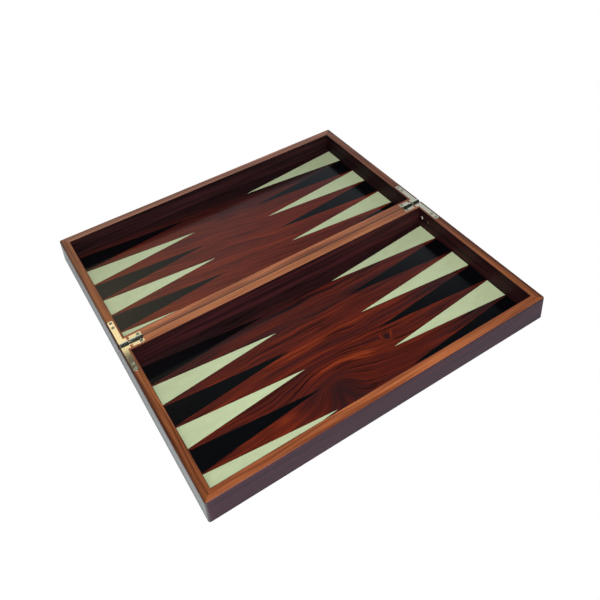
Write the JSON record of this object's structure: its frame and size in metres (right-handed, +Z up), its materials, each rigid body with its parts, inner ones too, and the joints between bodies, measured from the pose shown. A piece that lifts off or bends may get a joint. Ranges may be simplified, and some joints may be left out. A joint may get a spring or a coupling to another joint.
{
  "type": "folding backgammon board case",
  "caption": "Folding wooden backgammon case lying open: shallow trays with long triangular points inlaid in the floor, joined by L-shaped corner hinges.",
  "frame": {"origin": "on the table, straight below the middle of the hinge line, with the case lying open", "axes": "+X right along the hinge line, +Y from the base half to the lid half, +Z up out of the trays"},
  "size_m": [0.482, 0.482, 0.0381],
  "materials": {
    "rail_wood": "satin lacquered walnut-coloured wood",
    "facing_wood": "satin lacquered dark veneer",
    "lining_wood": "satin lacquered rosewood-look veneer",
    "field_wood": "satin lacquered rosewood-look veneer",
    "panel_wood": "raw plywood",
    "underside_wood": "satin dark veneer",
    "point_light": "satin lacquered pale green dyed veneer",
    "point_dark": "satin lacquered black dyed veneer",
    "hinge_brass": "polished brass-plated steel",
    "screw_brass": "polished brass-plated steel",
    "pin_steel": "bright steel",
    "magnet_nickel": "nickel-plated magnet",
    "wall_pin_metal": "polished domed head"
  },
  "bodies": {
    "base_half": {"base_outer_rail": "rail_wood", "base_left_rail": "rail_wood", "base_right_rail": "rail_wood", "base_hinge_rail": "rail_wood", "base_outer_facing": "facing_wood", "base_wall_lining": "lining_wood", "base_floor_panel": "panel_wood", "base_underside_veneer": "underside_wood", "base_field_veneer": "field_wood", "base_point_left_1": "point_dark", "base_point_left_2": "point_light", "base_point_left_3": "point_dark", "base_point_left_4": "point_light", "base_point_left_5": "point_dark", "base_point_left_6": "point_light", "base_left_hinge_leaf": "hinge_brass", "base_left_hinge_screws": "screw_brass", "base_point_right_1": "point_light", "base_point_right_2": "point_dark", "base_point_right_3": "point_light", "base_point_right_4": "point_dark", "base_point_right_5": "point_light", "base_point_right_6": "point_dark", "base_right_hinge_leaf": "hinge_brass", "base_right_hinge_screws": "screw_brass", "base_closure_magnets": "magnet_nickel", "base_wall_pins": "wall_pin_metal", "left_hinge_pin": "pin_steel", "right_hinge_pin": "pin_steel"},
    "lid_half": {"lid_outer_rail": "rail_wood", "lid_left_rail": "rail_wood", "lid_right_rail": "rail_wood", "lid_hinge_rail": "rail_wood", "lid_outer_facing": "facing_wood", "lid_wall_lining": "lining_wood", "lid_floor_panel": "panel_wood", "lid_underside_veneer": "underside_wood", "lid_field_veneer": "field_wood", "lid_point_left_1": "point_light", "lid_point_left_2": "point_dark", "lid_point_left_3": "point_light", "lid_point_left_4": "point_dark", "lid_point_left_5": "point_light", "lid_point_left_6": "point_dark", "lid_left_hinge_leaf": "hinge_brass", "lid_left_hinge_screws": "screw_brass", "lid_point_right_1": "point_dark", "lid_point_right_2": "point_light", "lid_point_right_3": "point_dark", "lid_point_right_4": "point_light", "lid_point_right_5": "point_dark", "lid_point_right_6": "point_light", "lid_right_hinge_leaf": "hinge_brass", "lid_right_hinge_screws": "screw_brass", "lid_closure_magnets": "magnet_nickel"}
  },
  "joints": [
    {"name": "fold", "type": "hinge", "parent": "base_half", "child": "lid_half", "pos_m": [0, 0, 0.03515], "axis": [1, 0, 0], "range_deg": [0, 180]}
  ]
}
